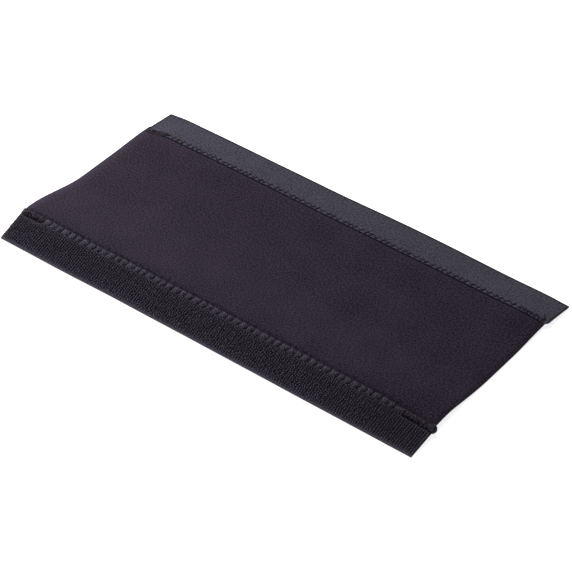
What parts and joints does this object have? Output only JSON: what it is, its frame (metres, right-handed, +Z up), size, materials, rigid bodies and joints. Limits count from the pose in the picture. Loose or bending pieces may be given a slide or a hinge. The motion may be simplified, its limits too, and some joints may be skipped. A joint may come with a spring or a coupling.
{
  "type": "chainstay protector",
  "caption": "Open neoprene wrap for a bicycle chainstay, with a hook tape and a loop tape sewn along its long edges.",
  "frame": {"origin": "centre of the footprint, on the ground that the open wrap lies on", "axes": "+X along the length of the wrap, +Y across it from the hook tape to the loop tape, +Z up, out of the hook side"},
  "size_m": [0.25, 0.1303, 0.0082],
  "materials": {
    "neoprene": "black foam faced with a fine dull knit on both sides",
    "hook_tape": "black woven nylon with rows of slightly glossy hooks",
    "loop_tape": "black woven nylon back with a soft pile below",
    "thread": "black twisted polyester sewing thread"
  },
  "bodies": {
    "root": {"neoprene_panel": "neoprene", "hook_tape": "hook_tape", "loop_tape": "loop_tape", "hook_seam_needle_thread": "thread", "hook_seam_bobbin_thread": "thread", "loop_seam_needle_thread": "thread", "loop_seam_bobbin_thread": "thread"}
  },
  "joints": []
}
